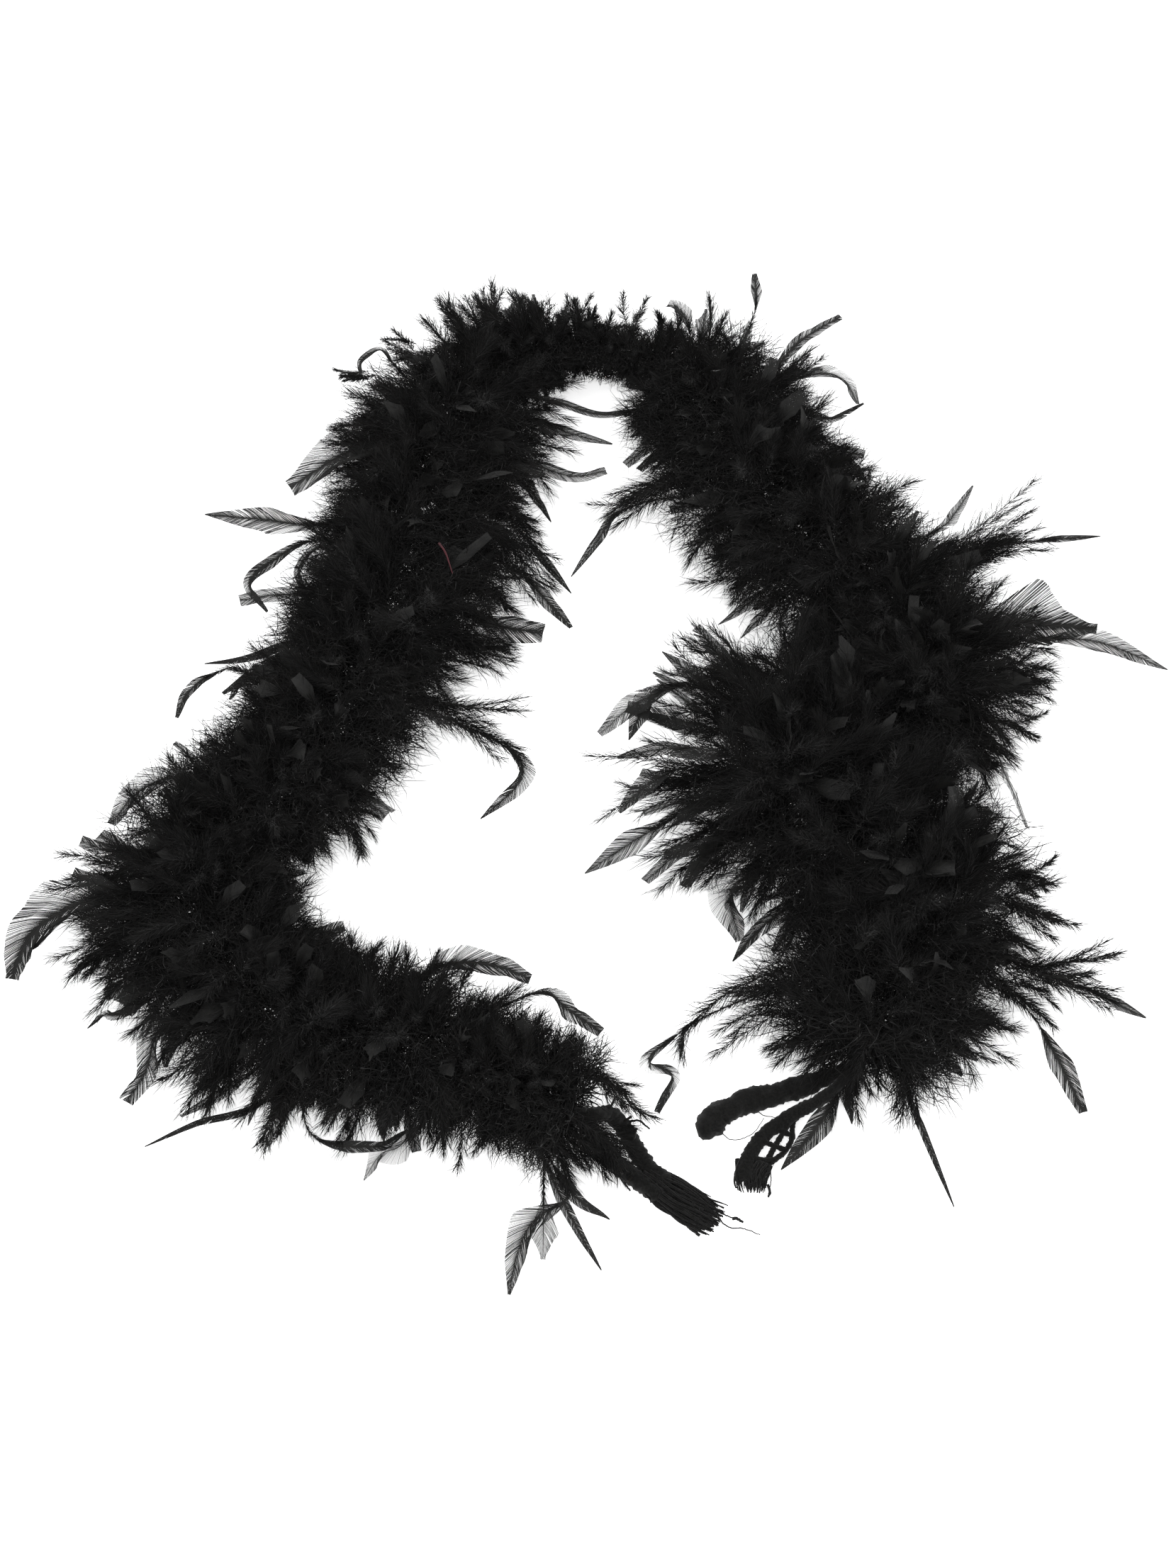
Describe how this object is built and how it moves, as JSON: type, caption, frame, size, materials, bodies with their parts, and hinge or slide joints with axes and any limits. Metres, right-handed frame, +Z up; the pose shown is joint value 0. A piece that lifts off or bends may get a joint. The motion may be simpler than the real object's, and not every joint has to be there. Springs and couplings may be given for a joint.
{
  "type": "feather boa",
  "caption": "Long fluffy scarf of black feathers stitched round a pair of strings, lying in an open horseshoe with its bare string tails at the near side.",
  "frame": {"origin": "centre of the boa's bounding box on the surface it lies on", "axes": "+Z up from the surface, +Y towards the crown in the middle of the boa's length, and both ends at the -Y side"},
  "size_m": [0.772, 0.8022, 0.1114],
  "materials": {
    "feather_down": "soft matt dyed feather down",
    "feather_vane": "thin dyed feather vane with a faint sheen",
    "feather_string": "matt twisted cotton",
    "tail_string": "matt rough cotton with loose fibres",
    "stitch_thread": "matt thread",
    "quill": "satin dyed quill"
  },
  "bodies": {
    "crown": {"string_a_crown": "feather_string", "string_b_crown": "feather_string", "stitch_thread_crown": "stitch_thread", "feathers_08": "feather_down", "feathers_09": "feather_down"},
    "left_upper": {"string_a_left_upper": "feather_string", "string_b_left_upper": "feather_string", "stitch_thread_left_upper": "stitch_thread", "feathers_06": "feather_down", "feathers_07": "feather_down", "plume_left_lance": "feather_vane", "plume_left_broad": "feather_vane", "plume_inner_grey": "feather_vane"},
    "left_middle": {"string_a_left_middle": "feather_string", "string_b_left_middle": "feather_string", "stitch_thread_left_middle": "stitch_thread", "feathers_04": "feather_down", "feathers_05": "feather_down", "plume_inner_hook": "feather_vane"},
    "left_lower": {"string_a_left_lower": "feather_string", "string_b_left_lower": "feather_string", "stitch_thread_left_lower": "stitch_thread", "feathers_01": "feather_down", "feathers_02": "feather_down", "feathers_03": "feather_down", "left_tail_strand_a": "tail_string", "left_tail_strand_b": "tail_string", "left_tail_brush": "tail_string", "left_quill_stubs": "quill", "plume_far_left_hook": "feather_vane", "plume_bottom_curl": "feather_vane", "plume_bottom_point": "feather_vane"},
    "right_upper": {"string_a_right_upper": "feather_string", "string_b_right_upper": "feather_string", "stitch_thread_right_upper": "stitch_thread", "feathers_10": "feather_down", "feathers_11": "feather_down", "feathers_12": "feather_down", "plume_right_tip": "feather_vane", "plume_right_thin": "feather_vane", "plume_inner_upper": "feather_vane", "plume_top_wisp": "feather_vane", "plume_top_right_prong": "feather_vane"},
    "right_middle": {"string_a_right_middle": "feather_string", "string_b_right_middle": "feather_string", "stitch_thread_right_middle": "stitch_thread", "feathers_13": "feather_down", "feathers_14": "feather_down", "plume_inner_pointed": "feather_vane", "plume_inner_square": "feather_vane"},
    "right_lower": {"string_a_right_lower": "feather_string", "string_b_right_lower": "feather_string", "stitch_thread_right_lower": "stitch_thread", "feathers_15": "feather_down", "right_tail_fold": "tail_string", "right_tail_strand": "tail_string", "plume_right_lower_spray": "feather_vane", "plume_club": "feather_vane", "plume_long_shaft": "feather_vane"}
  },
  "joints": [
    {"name": "left_upper_bend", "type": "hinge", "parent": "crown", "child": "left_upper", "pos_m": [-0.115, 0.285, 0.034], "axis": [0, 0, -1], "range_deg": [0, 35]},
    {"name": "left_middle_bend", "type": "hinge", "parent": "left_upper", "child": "left_middle", "pos_m": [-0.168, 0.065, 0.034], "axis": [0, 0, -1], "range_deg": [0, 35]},
    {"name": "left_lower_bend", "type": "hinge", "parent": "left_middle", "child": "left_lower", "pos_m": [-0.285, -0.13, 0.034], "axis": [0, 0, -1], "range_deg": [0, 35]},
    {"name": "right_upper_bend", "type": "hinge", "parent": "crown", "child": "right_upper", "pos_m": [0.06, 0.312, 0.034], "axis": [0, 0, 1], "range_deg": [0, 35]},
    {"name": "right_middle_bend", "type": "hinge", "parent": "right_upper", "child": "right_middle", "pos_m": [0.232, 0.015, 0.034], "axis": [0, 0, 1], "range_deg": [0, 35]},
    {"name": "right_lower_bend", "type": "hinge", "parent": "right_middle", "child": "right_lower", "pos_m": [0.212, -0.15, 0.034], "axis": [0, 0, 1], "range_deg": [0, 35]}
  ]
}
